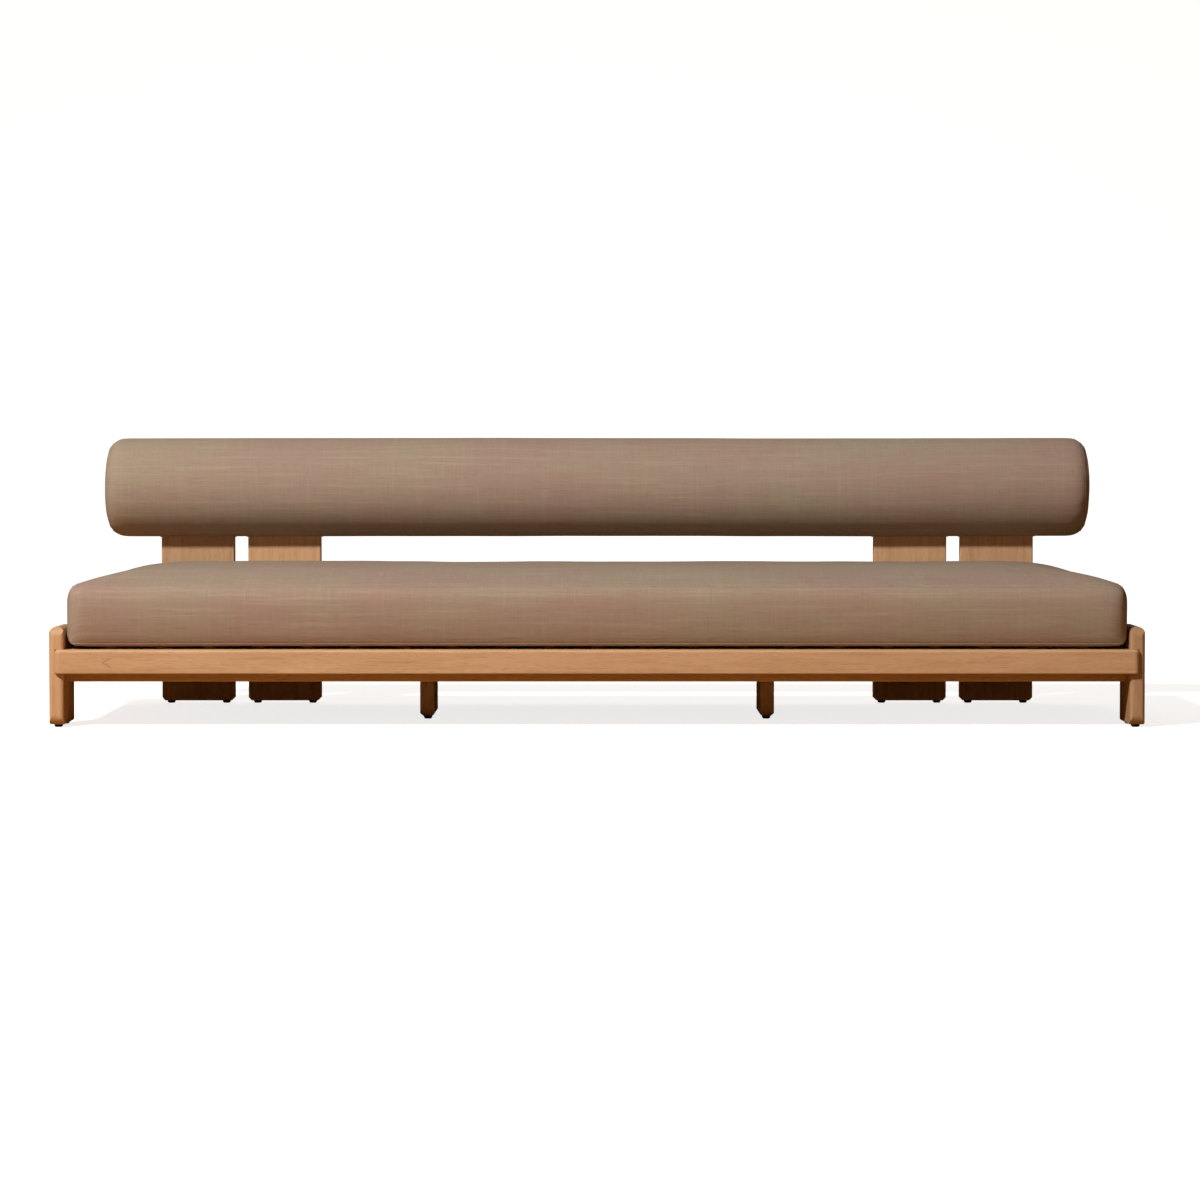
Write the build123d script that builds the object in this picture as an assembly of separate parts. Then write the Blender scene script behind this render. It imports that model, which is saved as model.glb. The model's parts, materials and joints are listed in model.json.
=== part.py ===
from build123d import *
from math import cos, sin
import os

# A long low teak daybed with a loose box cushion and a bolster back that lifts off.
# Millimetres. X runs to the right seen from the front, Y to the back, Z up, and left and
# right in names are as seen from the front. The origin is on the floor under the middle.

# ---- driving dimensions -------------------------------------------------------------
LENGTH = 2743.0            # over the outer faces of the two end legs
DEPTH = 1138.0             # front rail face to the back of the bolster
FRAME_DEPTH = 1022.0       # front rail face to the back of the planks
BOARD = 38.0               # every teak board is planed to this thickness

GLIDE_HEIGHT = 7.0         # nail-on glide that shows below the wood
GLIDE_RADIUS = 11.0
GLIDE_SOLE = 8.0           # radius of its flat underside
GLIDE_INSET = 40.0         # from a leg's front and back edges to the glides' centres
PLANK_GLIDE_INSET = 24.0
GLIDE_PIN_RADIUS = 1.5
GLIDE_PIN_LENGTH = 16.0

RAIL_BOTTOM = 135.0
DECK = 196.0               # top of the rails and of the slats
SLAT_THICKNESS = 20.0
SLAT_WIDTH = 96.0
SLAT_PITCH = 122.0
SLAT_COUNT = 22

LEG_DEPTH = 200.0
LEG_TOP = 253.0
LEG_SETBACK = 15.0         # the rail stands this far proud of the leg's front edge
LEG_CORNER = 25.0          # corners of the slab in side view
LEG_EDGE = 10.0            # its upright edges in plan
RAIL_LAP = 23.0            # how much of the leg's thickness the rail laps over
RAIL_END_ROUND = 14.0
RAIL_TOP_ROUND = 8.0
RAIL_LOWER_ROUND = 4.0

LEDGER_SETBACK = 110.0     # front face of the front ledger behind the front rail's face
LEDGER_BOTTOM = 110.0
REAR_RAIL_BOTTOM = 72.0

MIDDLE_LEG_X = 438.0
MIDDLE_LEG_SETBACK = 321.0
PLANK_WIDTH = 200.0
PLANK_TOP = 660.0
PLANK_CENTRES = (-1098.0, -860.0, 860.0, 1098.0)
PLANK_NAMES = ("outer_left", "inner_left", "inner_right", "outer_right")
FOOT_CHAMFER = 10.0

SEAT_LENGTH = 2661.0
SEAT_SETBACK = 8.0         # the boxing behind the front rail's face
SEAT_BACK_GAP = 12.0       # between the cushion and the planks
SEAT_EDGE_TOP = 366.0      # where the boxing turns over into the top panel
SEAT_CROWN = 399.0         # the top panel's highest line
SEAT_CORNER = 45.0         # upright corners in plan
SEAT_LOWER_EDGE = 12.0
SEAT_TURN = 34.0           # height over which the boxing rolls into the top
SEAT_EDGE_INSET = 24.0
SEAT_CROWN_INSET = 200.0
SEAT_CLEARANCE = 0.5       # the cushion's underside over the deck

BOLSTER_LENGTH = 2700.0
BOLSTER_RADIUS = 135.0
BOLSTER_Z = 594.0
BOLSTER_EDGE = 42.0        # rounding of the end caps' rims
BEAM_LENGTH = 2500.0       # the hollow beam inside the bolster, which slips over the planks
BEAM_BOTTOM = 520.0
BEAM_BOARD = 18.0
BEAM_CAP = 15.0
BEAM_ROOM = 0.5            # between the beam and the planks, and between its cap and their tops
SLOT_ROOM = 1.5            # round each plank where it passes through the cover
BLOCK_XS = (-1232.0, -979.0, 0.0, 979.0, 1232.0)
BLOCK_WIDTH = 34.0
BEAM_SCREW_RADIUS = 1.9
BEAM_SCREW_HEAD = 3.8
BEAM_SCREW_LENGTH = 32.0

BOLT_RADIUS = 3.9
SLEEVE_RADIUS = 5.0
SLEEVE_LENGTH = 22.0
HEAD_RADIUS = 8.5
HEAD_THICKNESS = 2.5
FIT = 0.25                 # radial room round a bolt, a sleeve or a head

ZIP_HALF = 1170.0
ZIP_TAPE_WIDTH = 28.0
ZIP_TAPE = 0.8
ZIP_COIL_WIDTH = 6.0
ZIP_COIL = 1.4
ZIP_HEIGHT = 282.0         # the seat zip's line up the rear boxing
ZIP_PARK = 16.0            # from the end of the zip to its slider, drawn shut
ZIP_ANGLE = 50.0           # the bolster's zip lies this far below level, at the back
ZIP_FLATS = 4              # flats that its tape is bent into round the bolster

# ---- worked out from them -----------------------------------------------------------
HALF = LENGTH / 2
FRONT = -DEPTH / 2
BACK = FRONT + FRAME_DEPTH
INNER = HALF - BOARD                       # inner face of the end legs and side rails
LEG_FRONT = FRONT + LEG_SETBACK
LEG_BACK = LEG_FRONT + LEG_DEPTH
RAIL_HALF = INNER + RAIL_LAP
RAIL_BACK = FRONT + BOARD
PLANK_FRONT = BACK - BOARD
REAR_RAIL_FRONT = PLANK_FRONT - BOARD
LEDGER_TOP = DECK - SLAT_THICKNESS
LEDGER_FRONT = FRONT + LEDGER_SETBACK
LEDGER_BACK = LEDGER_FRONT + BOARD
REAR_LEDGER_FRONT = REAR_RAIL_FRONT - BOARD
STRIP = 25.0                               # the square strip behind the front rail
BEAM_X = MIDDLE_LEG_X - BOARD              # cross beams lie against the middle legs
TENON = 25.0
TENON_THICK = 14.0
STUB = 12.0
BOLT_LINES = (98.0, 146.0)                 # heights of the two rows of plank bolts
BOLT_SPREAD = 62.0
LEG_BOLT_Z = 143.0
LEG_BOLT_INSET = 45.0
MIDDLE_LEG_FRONT = FRONT + MIDDLE_LEG_SETBACK
MIDDLE_LEG_BACK = MIDDLE_LEG_FRONT + LEG_DEPTH
LEG_BOLT_YS = (MIDDLE_LEG_FRONT + LEG_BOLT_INSET, MIDDLE_LEG_BACK - LEG_BOLT_INSET)
SLAT_SCREW_YS = (RAIL_BACK + STRIP / 2, LEDGER_FRONT + BOARD / 2,
                 REAR_LEDGER_FRONT + BOARD / 2)
SEAT_FRONT = FRONT + SEAT_SETBACK
SEAT_BACK = PLANK_FRONT - SEAT_BACK_GAP
BOLSTER_Y = (PLANK_FRONT + BACK) / 2
BEAM_FRONT = (PLANK_FRONT - BEAM_ROOM - BEAM_BOARD, PLANK_FRONT - BEAM_ROOM)
BEAM_BACK = (BACK + BEAM_ROOM, BACK + BEAM_ROOM + BEAM_BOARD)
BEAM_TOP = PLANK_TOP + BEAM_ROOM
SCREW_RADIUS = 1.8
SCREW_HEAD = 4.2
SCREW_CONE = 2.6
PILOT = 0.1                # radial room round a screw or a nail
SCREW_SINK = 0.5           # the heads lie this far below the slat's face
SCREW_LENGTH = 34.0


def block(x, y, z):
    """A plain box given by its low and high values along each axis."""
    size = (x[1] - x[0], y[1] - y[0], z[1] - z[0])
    centre = ((x[0] + x[1]) / 2, (y[0] + y[1]) / 2, (z[0] + z[1]) / 2)
    return Pos(*centre) * Box(*size)


def mirrored(solid):
    """The same piece for the other end of the bed."""
    return mirror(solid, about=Plane.YZ)


def rounded_outline(plane, low, high, radii):
    """A rectangle on a plane with its own radius at each corner, going round from the low one."""
    corners = [(low[0], low[1]), (high[0], low[1]), (high[0], high[1]), (low[0], high[1])]
    face = make_face(Polyline(*corners, close=True))
    for corner, radius in zip(corners, radii):
        if radius:
            near = face.vertices().sort_by_distance((corner[0], corner[1], 0))[0]
            face = fillet(near, radius)
    return plane * face


def board(x, y, z, plan, side=(0, 0, 0, 0), front=(0, 0, 0, 0)):
    """A board whose corners are rounded in plan (XY), in side view (YZ) and in front view (XZ)."""
    top_view = rounded_outline(Plane.XY, (x[0], y[0]), (x[1], y[1]), plan)
    solid = Pos(0, 0, z[0]) * extrude(top_view, z[1] - z[0])
    if any(side):
        side_view = rounded_outline(Plane.YZ, (y[0], z[0]), (y[1], z[1]), side)
        solid = solid & Pos(x[0], 0, 0) * extrude(side_view, x[1] - x[0])
    if any(front):
        front_view = rounded_outline(Plane.XZ, (x[0], z[0]), (x[1], z[1]), front)
        solid = solid & Pos(0, y[1], 0) * extrude(front_view, y[1] - y[0])
    return solid


def rod(start, length, radius, axis):
    """A cylinder from a point along +X, +Y or +Z."""
    turn = {"x": Rot(0, 90, 0), "y": Rot(-90, 0, 0), "z": Rot(0, 0, 0)}[axis]
    return Pos(*start) * turn * Cylinder(radius, length, align=(Align.CENTER, Align.CENTER, Align.MIN))


def foot_cut(x, y):
    """The chamfers along the bottom edges of a board that stands on the floor, seen from the front."""
    z = GLIDE_HEIGHT
    wedge = make_face(Polyline((x[0] - 1, z - 1), (x[0] + FOOT_CHAMFER, z - 1),
                               (x[0] + FOOT_CHAMFER - 1, z), (x[0], z + FOOT_CHAMFER - 1),
                               (x[0] - 1, z + FOOT_CHAMFER), close=True))
    left = Pos(0, y[1], 0) * extrude(Plane.XZ * wedge, y[1] - y[0])
    middle = (x[0] + x[1]) / 2
    right = mirror(left, about=Plane.YZ.offset(middle))
    return left + right


# ---- glides -------------------------------------------------------------------------
def glide(x, y):
    """A domed plastic glide on a nail, standing on the floor."""
    half = make_face(Polyline((0, 0), (GLIDE_SOLE, 0), (GLIDE_RADIUS, GLIDE_HEIGHT / 2),
                              (GLIDE_RADIUS, GLIDE_HEIGHT), (GLIDE_PIN_RADIUS, GLIDE_HEIGHT),
                              (GLIDE_PIN_RADIUS, GLIDE_HEIGHT + GLIDE_PIN_LENGTH),
                              (0, GLIDE_HEIGHT + GLIDE_PIN_LENGTH), close=True))
    return Pos(x, y, 0) * revolve(Plane.XZ * half, Axis.Z)


def glide_holes(places):
    """The nail holes that the glides need, as one cutter."""
    holes = [rod((x, y, GLIDE_HEIGHT - 1), GLIDE_PIN_LENGTH + 2, GLIDE_PIN_RADIUS + PILOT, "z")
             for x, y in places]
    return Compound(holes)


LEG_GLIDES = [(side * (HALF - BOARD / 2), y) for side in (-1, 1)
              for y in (LEG_FRONT + GLIDE_INSET, LEG_BACK - GLIDE_INSET)]
MIDDLE_GLIDES = [(side * MIDDLE_LEG_X, y) for side in (-1, 1)
                 for y in (MIDDLE_LEG_FRONT + GLIDE_INSET, MIDDLE_LEG_BACK - GLIDE_INSET)]
PLANK_GLIDES = [(x + side * (PLANK_WIDTH / 2 - PLANK_GLIDE_INSET), BACK - BOARD / 2)
                for x in PLANK_CENTRES for side in (-1, 1)]


# ---- tenons: each is one block, cut from its socket and added to its rail ------------
def leg_ledger_tenon():
    middle = (LEDGER_FRONT + LEDGER_BACK) / 2
    return block((INNER - 1, INNER + TENON), (middle - TENON_THICK / 2, middle + TENON_THICK / 2),
                 (LEDGER_BOTTOM + 10, LEDGER_TOP - 10))


def leg_side_tenon():
    middle = HALF - BOARD / 2
    return block((middle - TENON_THICK / 2, middle + TENON_THICK / 2),
                 (LEG_BACK - TENON, LEG_BACK + 1), (RAIL_BOTTOM + 10, DECK - 10))


def rear_side_tenon():
    middle = HALF - BOARD / 2
    return block((middle - TENON_THICK / 2, middle + TENON_THICK / 2),
                 (REAR_RAIL_FRONT - 1, REAR_RAIL_FRONT + TENON), (RAIL_BOTTOM + 10, DECK - 10))


def beam_tenon(at_front):
    y = (LEDGER_BACK - STUB, LEDGER_BACK + 1) if at_front else \
        (REAR_LEDGER_FRONT - 1, REAR_LEDGER_FRONT + STUB)
    return block((BEAM_X - TENON_THICK / 2, BEAM_X + TENON_THICK / 2), y,
                 (LEDGER_BOTTOM + 12, LEDGER_TOP - 12))


# ---- bolts --------------------------------------------------------------------------
def bolt(start, length, axis):
    """A flat-headed connector bolt; its head is at the far end, flush with the wood."""
    x, y, z = start
    step = {"x": (1, 0), "y": (0, 1)}[axis]
    head_at = (x + step[0] * (length - HEAD_THICKNESS), y + step[1] * (length - HEAD_THICKNESS), z)
    shank_at = (x + step[0] * (HEAD_THICKNESS + 2), y + step[1] * (HEAD_THICKNESS + 2), z)
    shank = rod(shank_at, length - HEAD_THICKNESS - 2, BOLT_RADIUS, axis)
    head = rod(head_at, HEAD_THICKNESS, HEAD_RADIUS, axis)
    ends = {"x": (x + length, y, z), "y": (x, y + length, z)}[axis]
    turn = {"x": Rot(0, 90, 0), "y": Rot(-90, 0, 0)}[axis]
    socket = Pos(*ends) * turn * extrude(RegularPolygon(2.9, 6), -1.8)
    return shank + head - socket


def sleeve_nut(start, axis):
    """The cap nut that the bolt screws into, flush with the inner face of the wood."""
    head = rod(start, HEAD_THICKNESS, HEAD_RADIUS, axis)
    sleeve = rod(start, SLEEVE_LENGTH, SLEEVE_RADIUS, axis)
    x, y, z = start
    bore_at = {"x": (x + HEAD_THICKNESS, y, z), "y": (x, y + HEAD_THICKNESS, z)}[axis]
    return head + sleeve - rod(bore_at, SLEEVE_LENGTH, BOLT_RADIUS + 0.1, axis)


def bolt_hole(start, length, axis):
    """Clearance for a bolt, its head, its sleeve nut and the nut's head."""
    x, y, z = start
    step = {"x": (1, 0), "y": (0, 1)}[axis]
    deep = HEAD_THICKNESS + FIT
    head_at = (x + step[0] * (length - deep), y + step[1] * (length - deep), z)
    before = (x - step[0] * 5, y - step[1] * 5, z)
    cut = rod(start, length, BOLT_RADIUS + FIT, axis)
    cut = cut + rod(before, SLEEVE_LENGTH + FIT + 5, SLEEVE_RADIUS + FIT, axis)
    cut = cut + rod(before, deep + 5, HEAD_RADIUS + FIT, axis)
    return cut + rod(head_at, deep + 5, HEAD_RADIUS + FIT, axis)


def plank_bolt_places():
    """Start point and length of every bolt that ties a plank to the rear rail."""
    places = []
    for x in PLANK_CENTRES:
        for side in (-1, 1):
            for z in BOLT_LINES:
                front = REAR_LEDGER_FRONT if z > LEDGER_BOTTOM else REAR_RAIL_FRONT
                places.append(((x + side * BOLT_SPREAD, front, z), BACK - front))
    return places


def leg_bolt_places():
    """Bolts through a middle leg and its cross beam; the right-hand pair, heads outside."""
    return [((BEAM_X - BOARD / 2, y, LEG_BOLT_Z), 2 * BOARD) for y in LEG_BOLT_YS]


def plank_bolt_holes():
    return Compound([bolt_hole(start, length, "y") for start, length in plank_bolt_places()])


def leg_bolt_holes():
    return Compound([bolt_hole(start, length, "x") for start, length in leg_bolt_places()])


# ---- slats and their screws ---------------------------------------------------------
def slat_xs():
    first = -(SLAT_COUNT - 1) * SLAT_PITCH / 2
    return [first + i * SLAT_PITCH for i in range(SLAT_COUNT)]


def screw(x, y, room=0.0):
    """A countersunk wood screw, head up; with room round it, the hole that it needs."""
    head, radius, length = SCREW_HEAD + room, SCREW_RADIUS + room, SCREW_LENGTH + room
    half = make_face(Polyline((0, 0), (head, 0), (radius, -SCREW_CONE), (radius, SCREW_CONE - length),
                              (0, -length), close=True))
    return Pos(x, y, DECK - SCREW_SINK) * revolve(Plane.XZ * half, Axis.Z)


def slat(x):
    solid = block((x - SLAT_WIDTH / 2, x + SLAT_WIDTH / 2), (RAIL_BACK + 0.5, REAR_RAIL_FRONT - 0.5),
                  (LEDGER_TOP, DECK))
    solid = fillet(solid.edges().filter_by(Axis.Y), 3)
    holes = [screw(x, y, PILOT) for y in SLAT_SCREW_YS]
    sinks = [rod((x, y, DECK - SCREW_SINK), 2, SCREW_HEAD + PILOT, "z") for y in SLAT_SCREW_YS]
    return solid - Compound(holes) - Compound(sinks)


def screw_holes(y):
    """Pilot holes for one row of slat screws."""
    holes = [rod((x, y, DECK - SCREW_LENGTH - 1.5), SCREW_LENGTH, SCREW_RADIUS + PILOT, "z")
             for x in slat_xs()]
    return Compound(holes)


# ---- the teak frame -----------------------------------------------------------------
def front_rail():
    """The long rail, with rolled ends and a softened top edge; its back and its lap stay square."""
    rail = block((-RAIL_HALF, RAIL_HALF), (FRONT, RAIL_BACK), (RAIL_BOTTOM, DECK))
    face = rail.faces().sort_by(Axis.Y)[0]
    rail = fillet(face.edges().filter_by(Axis.Z), RAIL_END_ROUND)
    for end, radius in ((-1, RAIL_TOP_ROUND), (0, RAIL_LOWER_ROUND)):
        face = rail.faces().sort_by(Axis.Z)[end]
        rail = fillet(face.edges().filter_by(lambda edge: edge.center().Y < RAIL_BACK - 1), radius)
    return rail


def front_leg():
    """The right-hand end leg: an upright slab that the front rail laps."""
    leg = board((INNER, HALF), (LEG_FRONT, LEG_BACK), (GLIDE_HEIGHT, LEG_TOP),
                plan=(LEG_EDGE, LEG_EDGE, LEG_EDGE, LEG_EDGE),
                side=(LEG_CORNER, LEG_CORNER, LEG_CORNER, LEG_CORNER),
                front=(4, 4, BOARD / 2 - 0.5, BOARD / 2 - 0.5))
    lap = block((INNER - 1, RAIL_HALF), (LEG_FRONT - 1, RAIL_BACK), (RAIL_BOTTOM, DECK))
    return leg - lap - leg_ledger_tenon() - leg_side_tenon() - glide_holes(LEG_GLIDES)


def side_rail():
    rail = board((INNER, HALF), (LEG_BACK, REAR_RAIL_FRONT), (RAIL_BOTTOM, DECK),
                 plan=(0, 0, 0, 0), front=(2, 5, 9, 2))
    ledger_socket = block((INNER - 1, INNER + STUB), (REAR_LEDGER_FRONT + 12, REAR_RAIL_FRONT - 12),
                          (RAIL_BOTTOM + 8, LEDGER_TOP - 10))
    return rail + leg_side_tenon() + rear_side_tenon() - ledger_socket


def rear_rail():
    rail = board((-HALF, HALF), (REAR_RAIL_FRONT, PLANK_FRONT), (REAR_RAIL_BOTTOM, DECK),
                 plan=(0, 0, 14, 14), side=(2, 5, 9, 2), front=(8, 8, 6, 6))
    sockets = Compound([rear_side_tenon(), mirrored(rear_side_tenon())])
    return rail - sockets - plank_bolt_holes()


def front_ledger():
    beam = board((-INNER, INNER), (LEDGER_FRONT, LEDGER_BACK), (LEDGER_BOTTOM, LEDGER_TOP),
                 plan=(0, 0, 0, 0), side=(4, 4, 1, 1))
    beam = beam + leg_ledger_tenon() + mirrored(leg_ledger_tenon())
    sockets = Compound([beam_tenon(True), mirrored(beam_tenon(True))])
    return beam - sockets - screw_holes(SLAT_SCREW_YS[1])


def rear_ledger():
    beam = board((-INNER, INNER), (REAR_LEDGER_FRONT, REAR_RAIL_FRONT), (LEDGER_BOTTOM, LEDGER_TOP),
                 plan=(0, 0, 0, 0), side=(4, 1, 1, 1))
    stub = block((INNER - 1, INNER + STUB), (REAR_LEDGER_FRONT + 12, REAR_RAIL_FRONT - 12),
                 (RAIL_BOTTOM + 8, LEDGER_TOP - 10))
    sockets = Compound([beam_tenon(False), mirrored(beam_tenon(False))])
    beam = beam + stub + mirrored(stub) - sockets
    return beam - plank_bolt_holes() - screw_holes(SLAT_SCREW_YS[2])


def slat_strip():
    """The square strip glued behind the front rail, which carries the slats' front ends."""
    strip = block((-INNER + 1, INNER - 1), (RAIL_BACK, RAIL_BACK + STRIP),
                  (LEDGER_TOP - STRIP, LEDGER_TOP))
    return strip - screw_holes(SLAT_SCREW_YS[0])


def cross_beam():
    """The right-hand beam from ledger to ledger that the middle leg is bolted to."""
    beam = board((BEAM_X - BOARD / 2, BEAM_X + BOARD / 2), (LEDGER_BACK, REAR_LEDGER_FRONT),
                 (LEDGER_BOTTOM, LEDGER_TOP), plan=(0, 0, 0, 0), front=(4, 4, 1, 1))
    return beam + beam_tenon(True) + beam_tenon(False) - leg_bolt_holes()


def middle_leg():
    x = (MIDDLE_LEG_X - BOARD / 2, MIDDLE_LEG_X + BOARD / 2)
    y = (MIDDLE_LEG_FRONT, MIDDLE_LEG_BACK)
    leg = board(x, y, (GLIDE_HEIGHT, LEDGER_TOP), plan=(6, 6, 6, 6),
                side=(LEG_CORNER, LEG_CORNER, 4, 4))
    return leg - foot_cut(x, y) - leg_bolt_holes() - glide_holes(MIDDLE_GLIDES)


def back_plank(centre):
    x = (centre - PLANK_WIDTH / 2, centre + PLANK_WIDTH / 2)
    plank = board(x, (PLANK_FRONT, BACK), (GLIDE_HEIGHT, PLANK_TOP), plan=(4, 4, 4, 4),
                  side=(3, 3, 6, 6), front=(0, 0, 12, 12))
    return plank - foot_cut(x, (PLANK_FRONT, BACK)) - plank_bolt_holes() - glide_holes(PLANK_GLIDES)


# ---- the hollow beam inside the bolster ---------------------------------------------
def beam_board(y):
    """One long side of the beam; its lower edge is eased so that it finds the planks."""
    half = BEAM_LENGTH / 2
    solid = block((-half, half), y, (BEAM_BOTTOM, BEAM_TOP))
    return fillet(solid.faces().sort_by(Axis.Z)[0].edges().filter_by(Axis.X), 4)


def beam_front_board():
    return beam_board(BEAM_FRONT) - Compound(beam_screws(PILOT, -1))


def beam_back_board():
    return beam_board(BEAM_BACK) - Compound(beam_screws(PILOT, 1))


def beam_cap():
    """The lid of the beam, which lies on the planks' tops and carries the bolster."""
    half = BEAM_LENGTH / 2
    solid = block((-half, half), (BEAM_FRONT[0], BEAM_BACK[1]), (BEAM_TOP, BEAM_TOP + BEAM_CAP))
    return fillet(solid.edges().filter_by(Axis.X).sort_by(Axis.Z)[-2:], 6)


def beam_blocks():
    """Spacer blocks between the two boards; the pair in the planks' gaps keeps the bolster centred."""
    blocks = [block((x - BLOCK_WIDTH / 2, x + BLOCK_WIDTH / 2), (BEAM_FRONT[1], BEAM_BACK[0]),
                    (BEAM_BOTTOM + 10, BEAM_TOP)) for x in BLOCK_XS]
    holes = Compound(beam_screws(PILOT, -1) + beam_screws(PILOT, 1))
    return Compound([solid - holes for solid in blocks])


def beam_screws(room, outward):
    """Two countersunk screws into each block from one side, or with room round them, their holes."""
    head, radius, length = BEAM_SCREW_HEAD + room, BEAM_SCREW_RADIUS + room, BEAM_SCREW_LENGTH + room
    half = make_face(Polyline((0, 0), (head, 0), (radius, -SCREW_CONE), (radius, SCREW_CONE - length),
                              (0, -length), close=True))
    solid = Rot(-90 * outward, 0, 0) * revolve(Plane.XZ * half, Axis.Z)
    y = BEAM_FRONT[0] if outward < 0 else BEAM_BACK[1]
    heights = (BEAM_BOTTOM + 35, BEAM_BOTTOM + 75) if outward < 0 else (BEAM_BOTTOM + 50, BEAM_BOTTOM + 95)
    return [Pos(x, y, z) * solid for x in BLOCK_XS for z in heights]


# ---- soft parts ---------------------------------------------------------------------
def tier(bottom, top, inset_bottom, inset_top):
    """One layer of the cushion, between two rounded outlines that are drawn in by the insets."""
    depth = SEAT_BACK - SEAT_FRONT
    outlines = [Plane.XY.offset(z) * RectangleRounded(SEAT_LENGTH - 2 * inset, depth - 2 * inset, SEAT_CORNER)
                for z, inset in ((bottom, inset_bottom), (top, inset_top))]
    return Pos(0, (SEAT_FRONT + SEAT_BACK) / 2, 0) * loft(outlines)


def seat_cushion():
    """The long box cushion: a soft lower edge, upright boxing, a turned-over edge and a crown."""
    base = DECK + SEAT_CLEARANCE
    lower, upper = base + SEAT_LOWER_EDGE, SEAT_EDGE_TOP - SEAT_TURN
    cushion = tier(base, lower, SEAT_LOWER_EDGE, 0) + tier(lower, upper, 0, 0)
    cushion = cushion + tier(upper, SEAT_EDGE_TOP, 0, SEAT_EDGE_INSET)
    return cushion + tier(SEAT_EDGE_TOP, SEAT_CROWN, SEAT_EDGE_INSET, SEAT_CROWN_INSET)


def bolster_cushion():
    """The round bolster: foam and cover round the hollow beam, with a slot below for each plank."""
    solid = Pos(-BOLSTER_LENGTH / 2, BOLSTER_Y, BOLSTER_Z) * Rot(0, 90, 0) * Cylinder(
        BOLSTER_RADIUS, BOLSTER_LENGTH, align=(Align.CENTER, Align.CENTER, Align.MIN))
    solid = fillet(solid.edges().filter_by(GeomType.CIRCLE), BOLSTER_EDGE)
    half = BEAM_LENGTH / 2 + PILOT
    hollow = block((-half, half), (BEAM_FRONT[0] - PILOT, BEAM_BACK[1] + PILOT),
                   (BEAM_BOTTOM - PILOT, BEAM_TOP + BEAM_CAP + PILOT))
    reach = PLANK_WIDTH / 2 + SLOT_ROOM
    slots = [block((x - reach, x + reach), (PLANK_FRONT - SLOT_ROOM, BACK + SLOT_ROOM),
                   (BOLSTER_Z - 2 * BOLSTER_RADIUS, BEAM_BOTTOM)) for x in PLANK_CENTRES]
    return solid - Compound(slots) - hollow


# ---- zips ---------------------------------------------------------------------------
def seat_zip():
    """The closed zip in the rear boxing: two tapes and the coil between them."""
    y = SEAT_BACK
    tape = block((-ZIP_HALF, ZIP_HALF), (y, y + ZIP_TAPE),
                 (ZIP_HEIGHT - ZIP_TAPE_WIDTH / 2, ZIP_HEIGHT + ZIP_TAPE_WIDTH / 2))
    coil = block((-ZIP_HALF, ZIP_HALF), (y + ZIP_TAPE / 2, y + ZIP_TAPE + ZIP_COIL),
                 (ZIP_HEIGHT - ZIP_COIL_WIDTH / 2, ZIP_HEIGHT + ZIP_COIL_WIDTH / 2))
    return tape + coil


def bolster_zip():
    """The same zip let along the underside of the bolster's back."""
    inner = BOLSTER_RADIUS + PILOT
    outer = inner + ZIP_TAPE
    bend = ZIP_TAPE_WIDTH / inner / ZIP_FLATS
    turns = [bend * (i - ZIP_FLATS / 2) for i in range(ZIP_FLATS + 1)]
    reach = 1 / cos(bend / 2)
    near = [(inner * reach * cos(turn), inner * reach * sin(turn)) for turn in turns]
    far = [(outer * reach * cos(turn), outer * reach * sin(turn)) for turn in reversed(turns)]
    tape_face = make_face(Polyline(*near, *far, close=True))
    coil_face = Pos(outer + ZIP_COIL / 2 - 0.2, 0) * Rectangle(ZIP_COIL + 0.4, ZIP_COIL_WIDTH)
    profile = Plane.YZ * (Rot(0, 0, -ZIP_ANGLE) * (tape_face + coil_face))
    return Pos(-ZIP_HALF, BOLSTER_Y, BOLSTER_Z) * extrude(profile, 2 * ZIP_HALF)


def zip_slider():
    """A slider over the coil, with its bridge and pull; it runs along X and faces up."""
    body = Pos(0, 0, 0.3) * Box(11, 9.4, 3.3, align=(Align.CENTER, Align.CENTER, Align.MIN))
    body = fillet(body.edges().filter_by(Axis.Z), 2)
    channel = Box(12, ZIP_COIL_WIDTH + 0.8, 2 * (ZIP_COIL + 0.35))
    bridge = Pos(0, 0, 3.4) * Box(7, 2.4, 1.5, align=(Align.CENTER, Align.CENTER, Align.MIN))
    pull = Pos(16, 0, 3.6) * Box(30, 6.5, 1.1, align=(Align.CENTER, Align.CENTER, Align.MIN))
    pull = fillet(pull.edges().filter_by(Axis.Z), 2.4)
    hole = Pos(26, 0, 0) * Cylinder(1.5, 20)
    return body - channel + bridge + (pull - hole)


def seat_zip_slider():
    place = Pos(ZIP_HALF - ZIP_PARK, SEAT_BACK + ZIP_TAPE, ZIP_HEIGHT)
    return place * Rot(-90, 0, 0) * Rot(0, 0, 180) * zip_slider()


def bolster_zip_slider():
    turn = Pos(0, BOLSTER_Y, BOLSTER_Z) * Rot(-90 - ZIP_ANGLE, 0, 0)
    outward = Pos(ZIP_HALF - ZIP_PARK, 0, BOLSTER_RADIUS + PILOT + ZIP_TAPE) * Rot(0, 0, 180)
    return turn * outward * zip_slider()


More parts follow.
